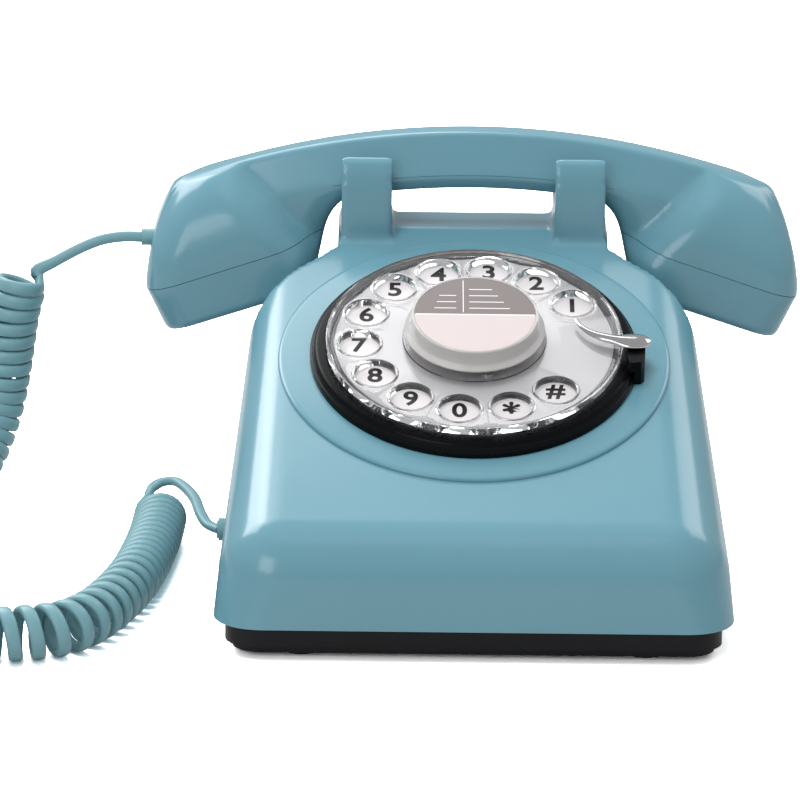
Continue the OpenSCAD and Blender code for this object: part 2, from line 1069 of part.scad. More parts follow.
module handset_screws() {
    color(steel_grey)
        for (sx = [-1, 1])
            translate([sx * 42, handset_y, 0]) {
                disc(screw_seat_z - 1.6, screw_seat_z, 2.5);
                disc(screw_seat_z, 130, 1.25);
            }
}

// ---------- all nodes ----------

case_shell();
base_pan();
rubber_feet();
case_screws();
ballast_plate();
dial_bezel();
number_plate();
finger_stop();
finger_stop_post();
dial_frame();
dial_rear_plate();
dial_bearing_bush();
dial_return_spring();
dial_frame_screws();
button_guide_post();
button_switch();
governor_housing();
dial_contact_springs();
main_circuit_board();
circuit_components();
ringer_speaker();
line_jack();
hook_switch_bracket();
hook_return_spring();
hook_contact_springs();
cord_grommet_base();
cord_lead_base();
cord_coil();
cord_lead_handset();
finger_wheel();
wheel_hub();
main_gear();
pulse_cam();
wheel_clamp_screw();
governor_pinion();
governor_shaft();
governor_weights();
button_cap();
label_card();
button_stem();
hook_plungers();
hook_bar();
handset_back();
handset_front();
ear_cap();
mouth_cap();
receiver_capsule();
microphone_capsule();
handset_ballast();
handset_screws();
cord_grommet_handset();
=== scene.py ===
"""Looks of the rotary desk telephone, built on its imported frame. Metres, +Z up, front towards -Y."""

import json
import math

import bmesh
import bpy
from mathutils import Matrix, Vector


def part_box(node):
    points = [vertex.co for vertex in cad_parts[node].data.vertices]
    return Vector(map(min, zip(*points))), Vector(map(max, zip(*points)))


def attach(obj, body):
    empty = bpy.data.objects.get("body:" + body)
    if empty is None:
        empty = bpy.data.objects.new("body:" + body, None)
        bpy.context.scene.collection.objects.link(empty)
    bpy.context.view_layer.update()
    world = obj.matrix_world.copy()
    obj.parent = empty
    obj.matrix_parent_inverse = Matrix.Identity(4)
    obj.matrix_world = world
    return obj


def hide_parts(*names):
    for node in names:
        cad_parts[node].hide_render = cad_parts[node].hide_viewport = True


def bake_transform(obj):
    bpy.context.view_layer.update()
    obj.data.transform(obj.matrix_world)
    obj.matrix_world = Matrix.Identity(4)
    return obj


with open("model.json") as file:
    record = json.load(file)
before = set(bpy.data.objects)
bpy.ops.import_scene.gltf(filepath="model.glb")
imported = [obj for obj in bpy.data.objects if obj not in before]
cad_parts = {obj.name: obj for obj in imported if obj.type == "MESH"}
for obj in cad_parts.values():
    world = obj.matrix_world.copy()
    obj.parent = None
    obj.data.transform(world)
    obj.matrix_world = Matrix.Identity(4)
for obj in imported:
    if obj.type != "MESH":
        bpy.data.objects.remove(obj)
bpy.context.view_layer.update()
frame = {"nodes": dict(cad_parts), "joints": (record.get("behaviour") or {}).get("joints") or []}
nodes = frame["nodes"]
joints = {joint["name"]: joint for joint in frame["joints"]}

MM = 0.001

# the sloping face that the dial sits on
DIAL_CENTRE = Vector(joints["dial_turn"]["pos_m"])
DIAL_AXIS = -Vector(joints["dial_turn"]["axis"])
TILT = math.atan2(-DIAL_AXIS.y, DIAL_AXIS.z)
ON_DIAL = Matrix.Translation(DIAL_CENTRE) @ Matrix.Rotation(TILT, 4, "X")
SIDEWAYS = Matrix.Rotation(math.pi / 2, 4, "Y")

# ---------------------------------------------------------------- meshes


def in_scene(name, data):
    """A new object in the scene that shows a mesh, a text, a light or a camera."""
    obj = bpy.data.objects.new(name, data)
    bpy.context.scene.collection.objects.link(obj)
    return obj


def mesh_object(name, verts, faces):
    mesh = bpy.data.meshes.new(name)
    mesh.from_pydata([tuple(v) for v in verts], [], faces)
    mesh.update()
    return in_scene(name, mesh)


def recalc_normals(obj):
    bm = bmesh.new()
    bm.from_mesh(obj.data)
    bmesh.ops.remove_doubles(bm, verts=bm.verts, dist=0.00001)
    bmesh.ops.recalc_face_normals(bm, faces=bm.faces)
    bm.to_mesh(obj.data)
    bm.free()
    return obj


def bake(obj):
    """Applies the modifiers of a piece."""
    bpy.context.view_layer.update()
    graph = bpy.context.evaluated_depsgraph_get()
    mesh = bpy.data.meshes.new_from_object(obj.evaluated_get(graph))
    obj.modifiers.clear()
    obj.data = mesh
    return obj


def combine(obj, tool, operation="DIFFERENCE"):
    """Cuts, adds or intersects a piece with a tool, which is used up."""
    modifier = obj.modifiers.new(operation.lower(), "BOOLEAN")
    modifier.operation = operation
    modifier.solver = "MANIFOLD"
    modifier.object = tool
    bake(obj)
    bpy.data.objects.remove(tool)
    return obj


def shade(obj, sharp_angle=32):
    mesh = obj.data
    mesh.polygons.foreach_set("use_smooth", [True] * len(mesh.polygons))
    mesh.set_sharp_from_angle(angle=math.radians(sharp_angle))
    return obj


def bevel(obj, width, segments=2, angle=35):
    modifier = obj.modifiers.new("edge rounding", "BEVEL")
    modifier.width = width
    modifier.segments = segments
    modifier.limit_method = "ANGLE"
    modifier.angle_limit = math.radians(angle)
    return obj


def relax(obj, rounds):
    """Evens out a skin, so that its sharp edges become small rounds."""
    modifier = obj.modifiers.new("relax", "SMOOTH")
    modifier.factor = 0.5
    modifier.iterations = rounds
    return bake(obj)


def copy_of(obj, name):
    twin = obj.copy()
    twin.data = obj.data.copy()
    twin.name = name
    bpy.context.scene.collection.objects.link(twin)
    return twin


def lathe(name, profile, steps=128, matrix=ON_DIAL):
    """A turned piece: a closed profile of (radius, height) points in mm, spun round the dial axis."""
    verts = []
    for k in range(steps):
        a = 2 * math.pi * k / steps
        for r, h in profile:
            verts.append((r * MM * math.cos(a), r * MM * math.sin(a), h * MM))
    count = len(profile)
    faces = []
    for k in range(steps):
        for i in range(count):
            j = (i + 1) % count
            after = (k + 1) % steps
            faces.append((k * count + i, after * count + i, after * count + j, k * count + j))
    obj = recalc_normals(mesh_object(name, verts, faces))
    obj.data.transform(matrix)
    return obj


def bore(r, low, high):
    """Profile of a plain round hole or pin, in mm."""
    return [(0, low), (r, low), (r, high), (0, high)]


def prism(name, outline, low, high, place):
    """A closed outline of (a, b) points pushed from low to high; place turns (a, b, depth) into a point."""
    count = len(outline)
    verts = [place(a, b, low) for a, b in outline] + [place(a, b, high) for a, b in outline]
    faces = [tuple(range(count - 1, -1, -1)), tuple(range(count, 2 * count))]
    faces += [(i, (i + 1) % count, count + (i + 1) % count, count + i) for i in range(count)]
    return recalc_normals(mesh_object(name, verts, faces))


def from_above(a, b, depth):
    return Vector((a, b, depth))


def from_side(a, b, depth):
    return Vector((depth, a, b))


def from_front(a, b, depth):
    return Vector((a, depth, b))


def arc(cx, cy, r, start, end, steps):
    """Points on an arc, angles in degrees."""
    angles = [math.radians(start + (end - start) * i / steps) for i in range(steps + 1)]
    return [(cx + r * math.cos(a), cy + r * math.sin(a)) for a in angles]


def smoothstep(x):
    x = min(1.0, max(0.0, x))
    return x * x * (3 - 2 * x)


def interpolate(points, x):
    """Height at x on a run of (x, z) points in rising x."""
    for (x0, z0), (x1, z1) in zip(points, points[1:]):
        if x <= x1:
            share = 0 if x1 == x0 else (x - x0) / (x1 - x0)
            return z0 + share * (z1 - z0)
    return points[-1][1]


def skin_through(name, rings):
    """A closed solid through rings of points, which all have the same number of points."""
    count = len(rings[0])
    faces = []
    for i in range(len(rings) - 1):
        for k in range(count):
            j = (k + 1) % count
            faces.append((i * count + k, i * count + j, (i + 1) * count + j, (i + 1) * count + k))
    faces.append(tuple(range(count - 1, -1, -1)))
    last = (len(rings) - 1) * count
    faces.append(tuple(range(last, last + count)))
    return recalc_normals(mesh_object(name, [v for ring in rings for v in ring], faces))


def sweep(name, points, section, ups):
    """A tube along points. section(i) gives (side, up) offsets at a point, and ups its up direction."""
    rings = []
    for i, p in enumerate(points):
        ahead = points[min(i + 1, len(points) - 1)] - points[max(i - 1, 0)]
        ahead.normalize()
        side = ahead.cross(ups[i]).normalized()
        up = side.cross(ahead)
        rings.append([p + side * a + up * b for a, b in section(i)])
    return skin_through(name, rings)


def smooth_route(points, step):
    """Catmull-Rom curve through given points, resampled at an even step."""
    pts = [points[0] * 2 - points[1]] + list(points) + [points[-1] * 2 - points[-2]]
    dense = []
    for i in range(1, len(pts) - 2):
        p0, p1, p2, p3 = pts[i - 1:i + 3]
        for k in range(24):
            t = k / 24
            dense.append(0.5 * (2 * p1 + (p2 - p0) * t + (2 * p0 - 5 * p1 + 4 * p2 - p3) * t * t
                                + (3 * p1 - p0 - 3 * p2 + p3) * t ** 3))
    dense.append(pts[-2])
    lengths = [0.0]
    for a, b in zip(dense, dense[1:]):
        lengths.append(lengths[-1] + (b - a).length)
    count = max(2, round(lengths[-1] / step))
    even = []
    j = 0
    for k in range(count + 1):
        want = lengths[-1] * k / count
        while j < len(lengths) - 2 and lengths[j + 1] < want:
            j += 1
        span = lengths[j + 1] - lengths[j]
        even.append(dense[j].lerp(dense[j + 1], (want - lengths[j]) / span if span else 0))
    return even


# ---------------------------------------------------------------- materials


def socket(group, name, kind, direction, default=None):
    made = group.interface.new_socket(name=name, in_out=direction, socket_type=kind)
    if default is not None:
        made.default_value = default
    return made


def moulding_texture_group():
    """Soft unevenness of a moulded surface: a colour factor, a roughness factor and a bump height."""
    group = bpy.data.node_groups.new("moulding_texture", "ShaderNodeTree")
    socket(group, "Ripple scale", "NodeSocketFloat", "INPUT", 60.0)
    socket(group, "Grain scale", "NodeSocketFloat", "INPUT", 2500.0)
    socket(group, "Colour variation", "NodeSocketFloat", "INPUT", 0.04)
    socket(group, "Low roughness", "NodeSocketFloat", "INPUT", 0.12)
    socket(group, "High roughness", "NodeSocketFloat", "INPUT", 0.2)
    socket(group, "Colour factor", "NodeSocketFloat", "OUTPUT")
    socket(group, "Roughness", "NodeSocketFloat", "OUTPUT")
    socket(group, "Height", "NodeSocketFloat", "OUTPUT")
    n = group.nodes
    link = group.links.new
    inputs = n.new("NodeGroupInput")
    outputs = n.new("NodeGroupOutput")
    where = n.new("ShaderNodeTexCoord")
    ripple = n.new("ShaderNodeTexNoise")
    ripple.inputs["Detail"].default_value = 3
    grain = n.new("ShaderNodeTexNoise")
    grain.inputs["Detail"].default_value = 2
    link(where.outputs["Object"], ripple.inputs["Vector"])
    link(where.outputs["Object"], grain.inputs["Vector"])
    link(inputs.outputs["Ripple scale"], ripple.inputs["Scale"])
    link(inputs.outputs["Grain scale"], grain.inputs["Scale"])
    centred = n.new("ShaderNodeMath")
    centred.operation = "SUBTRACT"
    centred.inputs[1].default_value = 0.5
    link(ripple.outputs["Fac"], centred.inputs[0])
    colour = n.new("ShaderNodeMath")
    colour.operation = "MULTIPLY_ADD"
    colour.inputs[2].default_value = 1.0
    link(centred.outputs[0], colour.inputs[0])
    link(inputs.outputs["Colour variation"], colour.inputs[1])
    link(colour.outputs[0], outputs.inputs["Colour factor"])
    rough = n.new("ShaderNodeMapRange")
    link(grain.outputs["Fac"], rough.inputs["Value"])
    link(inputs.outputs["Low roughness"], rough.inputs["To Min"])
    link(inputs.outputs["High roughness"], rough.inputs["To Max"])
    link(rough.outputs["Result"], outputs.inputs["Roughness"])
    mixed = n.new("ShaderNodeMath")
    mixed.operation = "MULTIPLY_ADD"
    mixed.inputs[1].default_value = 0.25
    link(grain.outputs["Fac"], mixed.inputs[0])
    link(ripple.outputs["Fac"], mixed.inputs[2])
    link(mixed.outputs[0], outputs.inputs["Height"])
    return group


def dust_group():
    """Light dust that settles on faces that look up, as a mask."""
    group = bpy.data.node_groups.new("settled_dust", "ShaderNodeTree")
    socket(group, "Amount", "NodeSocketFloat", "INPUT", 0.05)
    socket(group, "Mask", "NodeSocketFloat", "OUTPUT")
    n = group.nodes
    link = group.links.new
    inputs = n.new("NodeGroupInput")
    outputs = n.new("NodeGroupOutput")
    geometry = n.new("ShaderNodeNewGeometry")
    split = n.new("ShaderNodeSeparateXYZ")
    link(geometry.outputs["Normal"], split.inputs[0])
    where = n.new("ShaderNodeTexCoord")
    patches = n.new("ShaderNodeTexNoise")
    patches.inputs["Scale"].default_value = 140
    patches.inputs["Detail"].default_value = 6
    link(where.outputs["Object"], patches.inputs["Vector"])
    upward = n.new("ShaderNodeMath")
    upward.operation = "MULTIPLY"
    upward.use_clamp = True
    link(split.outputs["Z"], upward.inputs[0])
    link(patches.outputs["Fac"], upward.inputs[1])
    scaled = n.new("ShaderNodeMath")
    scaled.operation = "MULTIPLY"
    scaled.use_clamp = True
    link(upward.outputs[0], scaled.inputs[0])
    link(inputs.outputs["Amount"], scaled.inputs[1])
    link(scaled.outputs[0], outputs.inputs["Mask"])
    return group


MOULDING = moulding_texture_group()
DUST = dust_group()


def material(name, colour, ripple=60, grain=2500, variation=0.05, low=0.15, high=0.22,
             bump=0.02, dust=0.03, metallic=0.0, coat=0.0, ior=1.5, specular=0.5):
    """A solid finish whose colour, roughness and bump vary over the surface."""
    made = bpy.data.materials.new(name)
    made.use_nodes = True
    tree = made.node_tree
    shader = tree.nodes["Principled BSDF"]
    shader.inputs["Metallic"].default_value = metallic
    shader.inputs["IOR"].default_value = ior
    shader.inputs["Specular IOR Level"].default_value = specular
    shader.inputs["Coat Weight"].default_value = coat
    shader.inputs["Coat Roughness"].default_value = 0.04
    texture = tree.nodes.new("ShaderNodeGroup")
    texture.node_tree = MOULDING
    texture.inputs["Ripple scale"].default_value = ripple
    texture.inputs["Grain scale"].default_value = grain
    texture.inputs["Colour variation"].default_value = variation
    texture.inputs["Low roughness"].default_value = low
    texture.inputs["High roughness"].default_value = high
    settled = tree.nodes.new("ShaderNodeGroup")
    settled.node_tree = DUST
    settled.inputs["Amount"].default_value = dust
    tint = tree.nodes.new("ShaderNodeVectorMath")
    tint.operation = "SCALE"
    tint.inputs[0].default_value = colour
    dusted = tree.nodes.new("ShaderNodeMix")
    dusted.data_type = "RGBA"
    dusted.inputs["B"].default_value = (0.62, 0.61, 0.58, 1)
    height = tree.nodes.new("ShaderNodeBump")
    height.inputs["Strength"].default_value = bump
    height.inputs["Distance"].default_value = 0.0004
    link = tree.links.new
    link(texture.outputs["Colour factor"], tint.inputs["Scale"])
    link(tint.outputs["Vector"], dusted.inputs["A"])
    link(settled.outputs["Mask"], dusted.inputs["Factor"])
    link(dusted.outputs["Result"], shader.inputs["Base Color"])
    link(texture.outputs["Roughness"], shader.inputs["Roughness"])
    link(texture.outputs["Height"], height.inputs["Height"])
    link(height.outputs["Normal"], shader.inputs["Normal"])
    return made


def clear_material(name, colour, rough_low, rough_high, transmission, ior=1.49):
    """Clear or milky moulded acrylic with faint flow lines."""
    made = material(name, colour, ripple=90, grain=900, variation=0.02, low=rough_low, high=rough_high,
                    bump=0.004, dust=0.0, ior=ior)
    made.node_tree.nodes["Principled BSDF"].inputs["Transmission Weight"].default_value = transmission
    return made


BLUE_PLASTIC = material("light_blue_gloss_plastic", (0.125, 0.29, 0.36), ripple=35, low=0.16, high=0.23,
                        bump=0.03, dust=0.015, coat=0.08)
BLUE_CAP_PLASTIC = material("light_blue_cap_plastic", (0.122, 0.285, 0.355), ripple=45, low=0.17, high=0.24,
                            bump=0.03, dust=0.015, coat=0.08)
CORD_JACKET = material("light_blue_cord_jacket", (0.16, 0.33, 0.375), ripple=220, grain=3000, variation=0.1,
                       low=0.3, high=0.42, bump=0.05, dust=0.04)
BLACK_PLASTIC = material("black_base_plastic", (0.006, 0.006, 0.008), ripple=70, low=0.32, high=0.45,
                         bump=0.08, dust=0.003, specular=0.22)
BEZEL_PLASTIC = material("black_bezel_plastic", (0.002, 0.0023, 0.003), ripple=50, low=0.22, high=0.32,
                         bump=0.03, dust=0.001, specular=0.1)
RUBBER = material("black_rubber", (0.02, 0.02, 0.021), ripple=150, low=0.6, high=0.8, bump=0.2, dust=0.05)
PLATE_PAINT = material("pale_number_plate", (0.72, 0.69, 0.70), ripple=80, variation=0.08, low=0.3, high=0.4,
                       bump=0.02, dust=0.0)
DIGIT_INK = material("black_digit_ink", (0.006, 0.006, 0.007), low=0.35, high=0.5, dust=0.0)
CHROME = material("bright_chrome", (0.62, 0.62, 0.63), ripple=120, variation=0.06, low=0.08, high=0.16,
                  bump=0.02, dust=0.0, metallic=1.0)
STEEL = material("plated_steel", (0.55, 0.56, 0.57), ripple=200, variation=0.15, low=0.25, high=0.4,
                 bump=0.06, dust=0.0, metallic=1.0)
ALUMINIUM = material("pressed_aluminium", (0.66, 0.67, 0.68), ripple=160, variation=0.1, low=0.3, high=0.45,
                     bump=0.08, dust=0.0, metallic=1.0)
BRASS = material("turned_brass", (0.71, 0.52, 0.22), ripple=180, variation=0.15, low=0.2, high=0.35,
                 bump=0.05, dust=0.0, metallic=1.0)
BOARD_GREEN = material("green_board", (0.03, 0.16, 0.07), ripple=120, variation=0.2, low=0.3, high=0.4,
                       bump=0.05, dust=0.0)
DARK_PARTS = material("dark_component_moulding", (0.03, 0.03, 0.033), ripple=140, variation=0.3, low=0.35,
                      high=0.5, bump=0.08, dust=0.0)
NATURAL_PLASTIC = material("natural_moulding", (0.72, 0.69, 0.6), ripple=100, variation=0.08, low=0.3,
                           high=0.45, bump=0.05, dust=0.0)
CARD_TAUPE = material("card_taupe_print", (0.185, 0.157, 0.157), ripple=300, variation=0.06, low=0.3,
                      high=0.4, dust=0.0)
CARD_PALE = material("card_pale_print", (0.57, 0.505, 0.50), ripple=300, variation=0.04, low=0.3, high=0.4,
                     dust=0.0)
CARD_WHITE = material("card_white_rule", (0.85, 0.83, 0.82), ripple=300, variation=0.04, low=0.3, high=0.4,
                      dust=0.0)
CLEAR_ACRYLIC = clear_material("clear_wheel_acrylic", (0.96, 0.97, 0.98), 0.02, 0.06, 0.97)
MILKY_ACRYLIC = clear_material("milky_button_acrylic", (0.95, 0.93, 0.92), 0.12, 0.22, 0.6)


def dress(obj, finish):
    obj.data.materials.clear()
    obj.data.materials.append(finish)
    return obj


def piece(obj, body, finish, stands_for=()):
    """Gives a finished mesh its material and its body, and hides the CAD nodes that it stands for."""
    dress(obj, finish)
    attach(obj, body)
    if stands_for:
        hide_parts(*stands_for)
    return obj


# ---------------------------------------------------------------- case

CASE_LOW, CASE_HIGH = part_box("case_shell")
CORNER_R = 0.014
BEND_R = 0.021
WALL = 0.0026
SIDE_DRAFT = 0.105
FOOT_Z = CASE_LOW.z
HALF_W = CASE_HIGH.x
HALF_D = CASE_HIGH.y
REAR_TAPER = 0.022
DECK_Z = 0.106
NECK_HALF = 0.0482
SHOULDER_Y = 0.059
SHOULDER_ANGLE = math.radians(42.5)
SHELF_Z = 0.060
HANDSET_Y = 0.079
HORN_INNER_X = 0.029
HORN_OUTER_X = 0.047
SADDLE_HALF_D = 0.0116
SADDLE_Z = 0.1156
SADDLE_FILLET = 0.0012
PLATEAU_R = 68
DIAL_OPENING_R = 50
PIN_X = 0.039
PIN_HOLE_R = 2.6
SOCKET_X = (0.0329, 0.0491)
SOCKET_Z = (0.0129, 0.0261)
SLEEVE_HOLE_R = 3.2


def face_z(y):
    return DIAL_CENTRE.z + (y - DIAL_CENTRE.y) * math.tan(TILT)


def hull_of_balls(name, balls, segments=64):
    bm = bmesh.new()
    for centre, r in balls:
        bmesh.ops.create_uvsphere(bm, u_segments=segments, v_segments=segments // 2, radius=r,
                                  matrix=Matrix.Translation(centre))
    hull = bmesh.ops.convex_hull(bm, input=bm.verts)
    inside = {g for g in hull["geom_interior"] + hull["geom_unused"] if isinstance(g, bmesh.types.BMVert)}
    bmesh.ops.delete(bm, geom=list(inside), context="VERTS")
    loose = [f for f in bm.faces if f not in set(hull["geom"])]
    bmesh.ops.delete(bm, geom=loose, context="FACES")
    mesh = bpy.data.meshes.new(name)
    bm.to_mesh(mesh)
    bm.free()
    return recalc_normals(in_scene(name, mesh))


def wedge(name, inset):
    """The sloping body as the hull of balls at its corners; smaller balls give its inside."""
    drop = CORNER_R / math.cos(TILT)
    front = -HALF_D + CORNER_R
    back = HALF_D - CORNER_R
    crease = DIAL_CENTRE.y + (DECK_Z - CORNER_R + drop - DIAL_CENTRE.z) / math.tan(TILT)
    bend = -HALF_D + 0.002 + BEND_R
    spots = [(front, 0.0, CORNER_R), (back, 0.0, CORNER_R),
             (bend, face_z(bend) - BEND_R / math.cos(TILT), BEND_R),
             (crease, DECK_Z - CORNER_R, CORNER_R), (back, DECK_Z - CORNER_R, CORNER_R)]
    balls = []
    for side in (-1, 1):
        for y, z, r in spots:
            half_w = HALF_W - SIDE_DRAFT * (z - FOOT_Z) - REAR_TAPER * (y + HALF_D)
            balls.append((Vector((side * (half_w - r), y, z)), r - inset))
    return hull_of_balls(name, balls)


def shoulder_room(name, side, grow):
    """The room beside the neck where an end of the handset hangs."""
    x0 = NECK_HALF - grow
    y0 = SHOULDER_Y - grow * math.tan(math.pi / 4 - SHOULDER_ANGLE / 2)
    far = 0.14
    outline = [(x0, y0), (x0, far), (far, far), (far, y0 - (far - x0) * math.tan(SHOULDER_ANGLE))]
    outline = [(side * x, y) for x, y in outline]
    return prism(name, outline, SHELF_Z - grow, 0.2, from_above)


def cradle_outline():
    """Front and rear horns with the saddle between them, seen from the side."""
    front_in = HANDSET_Y - SADDLE_HALF_D
    rear_in = HANDSET_Y + SADDLE_HALF_D
    fillet = SADDLE_FILLET
    inner_corner = SADDLE_Z + fillet
    outline = [(0.0604, 0.096), (0.0604, 0.112), (0.0607, 0.122), (0.0616, 0.1275), (0.0630, 0.1310),
               (0.0646, 0.1326), (0.0660, 0.1328), (front_in, 0.1314), (front_in, inner_corner)]
    outline += arc(front_in + fillet, inner_corner, fillet, 180, 270, 4)[1:]
    outline += arc(rear_in - fillet, inner_corner, fillet, 270, 360, 4)
    outline += [(rear_in, 0.1225)]
    outline += arc(rear_in + 0.0022, 0.1228, 0.0021, 150, 20, 5)
    outline += [(rear_in + 0.0055, 0.114), (rear_in + 0.006, 0.104), (rear_in + 0.006, 0.100), (0.072, 0.100)]
    return outline


def soften(obj, voxel, rounds):
    """Remeshes a joined solid and relaxes it, so that its edges and inner corners become small fillets."""
    remesh = obj.modifiers.new("even skin", "REMESH")
    remesh.mode = "VOXEL"
    remesh.voxel_size = voxel
    return relax(obj, rounds)


def case():
    body = wedge("case_body", 0.0)
    for side in (-1, 1):
        combine(body, shoulder_room("room", side, 0.0))
    for side in (-1, 1):
        inner, outer = sorted((side * HORN_INNER_X, side * HORN_OUTER_X))
        combine(body, prism("horns", cradle_outline(), inner, outer, from_side), "UNION")
    soften(body, 0.0010, 8)
    r = PLATEAU_R
    plateau = [(0, -6), (r, -6), (r, 0.3), (r - 0.1, 0.8), (r - 0.5, 1.2), (r - 1.1, 1.4), (r - 2, 1.5),
               (0, 1.6)]
    combine(body, lathe("plateau", plateau, 192), "UNION")

    below = prism("below", [(-0.2, -0.2), (0.2, -0.2), (0.2, 0.2), (-0.2, 0.2)], -0.05, FOOT_Z, from_above)
    combine(body, below)
    inside = wedge("inside", WALL)
    for side in (-1, 1):
        combine(inside, shoulder_room("room", side, WALL))
    combine(body, inside)
    combine(body, lathe("dial_opening", bore(DIAL_OPENING_R, -20, 10), 128))
    for side in (-1, 1):
        place = Matrix.Translation((side * PIN_X, HANDSET_Y, 0.095))
        combine(body, lathe("pin_hole", bore(PIN_HOLE_R, -20, 30), 32, place))
    left, right = SOCKET_X
    low, high = SOCKET_Z
    corners = [(left, low), (right, low), (right, high), (left, high)]
    combine(body, prism("socket_hole", corners, 0.086, 0.12, from_front))
    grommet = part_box("cord_grommet_base")
    middle = (grommet[0] + grommet[1]) / 2
    place = Matrix.Translation((grommet[0].x + 0.0026, middle.y, middle.z))
    combine(body, lathe("sleeve_hole", bore(SLEEVE_HOLE_R, -8, 12), 48, place @ SIDEWAYS))
    shade(body, 40)
    piece(body, "base", BLUE_PLASTIC, ["case_shell"])


# ---------------------------------------------------------------- handset

HANDSET_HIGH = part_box("handset_back")[1]
HANDSET_HALF = HANDSET_HIGH.x
HANDLE_TOP = HANDSET_HIGH.z
ARC_R = 0.300
HANDLE_T = 0.020
HANDLE_HALF_D = 0.011
HANDLE_TOP_HALF = 0.0055
POD_HALF_D = 0.023
CAP_OUTER = Vector((HANDSET_HALF, 0.083))
CAP_INNER = Vector((0.057, 0.1032))
CAP_DIRECTION = (CAP_OUTER - CAP_INNER).normalized()
CAP_SLOPE = math.atan2(CAP_INNER.y - CAP_OUTER.y, CAP_OUTER.x - CAP_INNER.x)
POD_MIDDLE = (CAP_OUTER + CAP_INNER) / 2
INNER_FOOT = (0.0560, 0.0897)
TOP_CORNER_X = 0.1068
SIDE_BULGE = 0.0024
SPLIT_R = ARC_R - HANDLE_T + 0.0055
COVER_HALF = 0.050
SEAM_LINE = 0.00012
SOUND_HOLE_R = 1.4
SOUND_RING_R = 8
HANDSET_SLEEVE_R = 3.0


def arc_z(r, x):
    return HANDLE_TOP - ARC_R + math.sqrt(r * r - x * x)


def bezier(a, b, c, steps):
    out = []
    for i in range(steps + 1):
        t = i / steps
        out.append(tuple((1 - t) ** 2 * a[k] + 2 * t * (1 - t) * b[k] + t * t * c[k] for k in (0, 1)))
    return out


def outer_x(z):
    """The outer side of an end, which bulges between its top corner and its cap."""
    corner_z = arc_z(ARC_R, TOP_CORNER_X)
    rise = (z - CAP_OUTER.y) / (corner_z - CAP_OUTER.y)
    return CAP_OUTER.x + (TOP_CORNER_X - CAP_OUTER.x) * rise + 4 * SIDE_BULGE * rise * (1 - rise)


def top_line():
    corner_z = arc_z(ARC_R, TOP_CORNER_X)
    arrive = (TOP_CORNER_X - 0.0048, arc_z(ARC_R, TOP_CORNER_X - 0.0048))
    heights = [CAP_OUTER.y + (corner_z - CAP_OUTER.y) * (0.88 - 0.08 * i) for i in range(12)]
    side = [(outer_x(z), z) for z in heights]
    run = [(x * 0.001, arc_z(ARC_R, x * 0.001)) for x in range(0, 101, 4)]
    return run + bezier(arrive, (TOP_CORNER_X + 0.0006, corner_z), side[0], 8) + side[1:]


def under_line():
    """Underside of the handle, the bend and the inner wall of an end, down to its cap."""
    under = ARC_R - HANDLE_T
    run = [(x * 0.001, arc_z(under, x * 0.001)) for x in range(0, 45, 4)]
    bend = bezier((0.0445, arc_z(under, 0.0445)), (0.0522, 0.1118), (0.0537, 0.1005), 14)
    return run + bend + [INNER_FOOT]


def cap_line():
    """Lower edge of a cap, from its inner corner to its outer corner."""
    foot_in = (0.0582, 0.0848)
    foot_out = (CAP_OUTER.x - 0.0072, CAP_OUTER.y - 0.0152)
    inner_corner = bezier(INNER_FOOT, foot_in, (0.0640, 0.0828), 6)
    outer_corner = bezier((foot_out[0] - 0.003, foot_out[1] + 0.0008), foot_out,
                          (foot_out[0] + 0.0012, foot_out[1] + 0.0030), 5)
    return inner_corner + outer_corner + [tuple(CAP_OUTER)]


def distance(line, x, z):
    best = 1.0
    for (x0, z0), (x1, z1) in zip(line, line[1:]):
        dx, dz = x1 - x0, z1 - z0
        size = dx * dx + dz * dz
        share = min(1.0, max(0.0, ((x - x0) * dx + (z - z0) * dz) / size)) if size else 0.0
        best = min(best, math.hypot(x0 + share * dx - x, z0 + share * dz - z))
    return best


def swell(share, power=0.5):
    """Rounded rise from 0 to 1, steep at first and level at the end."""
    share = min(1.0, max(0.0, share))
    return (1 - (1 - share) ** 2) ** power


def half_depth(x, z):
    """Half the front-to-back size of the handset at a point of its outline."""
    x = abs(x)
    below_top = distance(CREST_LINE, x, z)
    handle = HANDLE_TOP_HALF + (HANDLE_HALF_D - HANDLE_TOP_HALF) * min(1.0, below_top / 0.0145)
    pod = HANDLE_TOP_HALF + (POD_HALF_D - HANDLE_TOP_HALF) * swell(below_top / 0.028, 0.62)
    valley = 0.0615 + (z - 0.105) * 1.01
    depth = handle + max(0.0, pod - handle) * swell((x - valley) / 0.0175, 0.72)

    end = smoothstep((x - 0.046) / 0.010)
    under = distance(UNDER_LINE, x, z)
    kept = 0.64 - 0.22 * end
    depth *= kept + (1 - kept) * swell(under / (0.0050 + 0.0045 * end))

    if z > CAP_OUTER.y:
        outer = outer_x(z)
    else:
        outer = CAP_OUTER.x - 0.47 * (CAP_OUTER.y - z)
    corner = 0.012
    past = min(corner, x - (outer - corner))
    if past > 0:
        depth -= min(depth * 0.5, corner - math.sqrt(corner ** 2 - past ** 2))
    low = distance(CAP_LINE, x, z)
    if z < 0.095 and low < 0.003:
        depth -= 0.003 - math.sqrt(max(0.0, 0.003 ** 2 - (0.003 - low) ** 2))
    return depth


